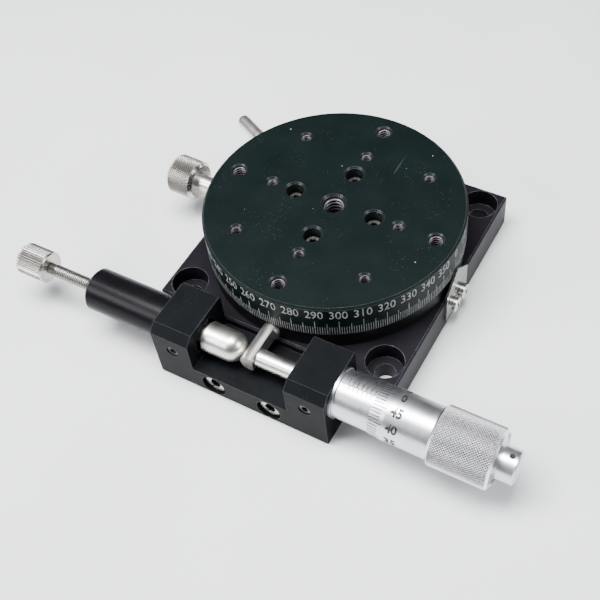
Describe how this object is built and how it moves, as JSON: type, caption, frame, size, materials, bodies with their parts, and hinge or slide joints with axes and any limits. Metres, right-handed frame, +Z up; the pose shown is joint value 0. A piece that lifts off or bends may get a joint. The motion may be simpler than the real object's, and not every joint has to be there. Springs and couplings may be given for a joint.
{
  "type": "rotation stage",
  "caption": "Square-based rotation stage with a graduated round table, a micrometer and sprung plunger for fine turning, and a knurled lock screw.",
  "frame": {"origin": "on the table's axis, in the plane of the base's underside, at the middle of the four mounting holes", "axes": "+Z is up along the table's axis, +X runs along the micrometer towards its thimble, -Y faces the drive bracket"},
  "size_m": [0.1235, 0.074, 0.0225],
  "materials": {
    "table_anodised": "black anodised, satin, with an engraved pale scale",
    "black_anodised": "black anodised, satin",
    "satin_steel": "satin plated, engraved or knurled",
    "polished_steel": "ground and polished",
    "plated_screws": "nickel plated",
    "dark_steel": "black oxide",
    "bearing_steel": "ground",
    "brass": "machined"
  },
  "bodies": {
    "base": {"base_plate": "black_anodised", "bearing_outer_race": "bearing_steel", "bearing_balls": "bearing_steel", "bearing_cage": "brass", "bearing_retainer": "dark_steel", "drive_bracket": "black_anodised", "bracket_screws": "plated_screws", "set_screws": "dark_steel", "index_plate": "satin_steel", "index_screws": "plated_screws", "micrometer_sleeve": "satin_steel", "micrometer_nut": "brass", "plunger_housing": "black_anodised", "plunger_spring": "plated_screws"},
    "fine_ring_group": {"fine_ring": "black_anodised", "tangent_pin": "polished_steel"},
    "table_group": {"table_plate": "table_anodised", "table_hub": "plated_screws", "table_screws": "plated_screws", "hub_nut": "dark_steel", "bearing_inner_race": "bearing_steel", "handle_rod": "polished_steel"},
    "lock_slide": {"lock_shoe": "brass"},
    "lock_turner": {"lock_screw": "plated_screws", "lock_knob": "satin_steel"},
    "spindle_slide": {"spindle": "polished_steel"},
    "thimble_group": {"thimble": "satin_steel", "thimble_grip": "satin_steel", "end_cap": "satin_steel"},
    "plunger_slide": {"plunger": "polished_steel"},
    "seat_slide": {"spring_seat": "plated_screws"},
    "preload_turner": {"preload_screw": "plated_screws", "preload_knob": "satin_steel"}
  },
  "joints": [
    {"name": "spindle_feed", "type": "slide", "parent": "base", "child": "spindle_slide", "axis": [1, 0, 0], "range_m": [-0.00647, 0.00003]},
    {"name": "thimble_turn", "type": "hinge", "parent": "spindle_slide", "child": "thimble_group", "pos_m": [0.05, -0.0372, 0.0112], "axis": [1, 0, 0], "range_deg": [-4658, 21]},
    {"name": "fine_turn", "type": "hinge", "parent": "base", "child": "fine_ring_group", "pos_m": [0, 0, 0.0112], "axis": [0, 0, 1], "range_deg": [-10.42, 0.05]},
    {"name": "plunger_travel", "type": "slide", "parent": "base", "child": "plunger_slide", "axis": [1, 0, 0], "range_m": [-0.00694, 0.00003], "deforming": ["plunger_spring"]},
    {"name": "table_turn", "type": "hinge", "parent": "fine_ring_group", "child": "table_group", "pos_m": [0, 0, 0.018], "axis": [0, 0, 1], "continuous": true},
    {"name": "lock_feed", "type": "slide", "parent": "fine_ring_group", "child": "lock_slide", "axis": [-0.9994, 0.0349, 0], "range_m": [-0.00015, 0.0005]},
    {"name": "lock_turn", "type": "hinge", "parent": "lock_slide", "child": "lock_turner", "pos_m": [-0.03998, 0.0014, 0.0112], "axis": [-0.9994, 0.0349, 0], "range_deg": [-108, 360]},
    {"name": "preload_feed", "type": "slide", "parent": "base", "child": "seat_slide", "axis": [1, 0, 0], "range_m": [-0.0014, 0.003], "deforming": ["plunger_spring"]},
    {"name": "preload_turn", "type": "hinge", "parent": "seat_slide", "child": "preload_turner", "pos_m": [-0.05, -0.0372, 0.0112], "axis": [1, 0, 0], "range_deg": [-1008, 2160]}
  ],
  "couplings": [
    {"joint": "thimble_turn", "follows": "spindle_feed", "rad_per_m": 12566},
    {"joint": "fine_turn", "follows": "spindle_feed", "rad_per_m": 28.09},
    {"joint": "plunger_travel", "follows": "spindle_feed", "ratio": 1.0715},
    {"joint": "lock_turn", "follows": "lock_feed", "rad_per_m": 12566},
    {"joint": "preload_turn", "follows": "preload_feed", "rad_per_m": 12566}
  ]
}
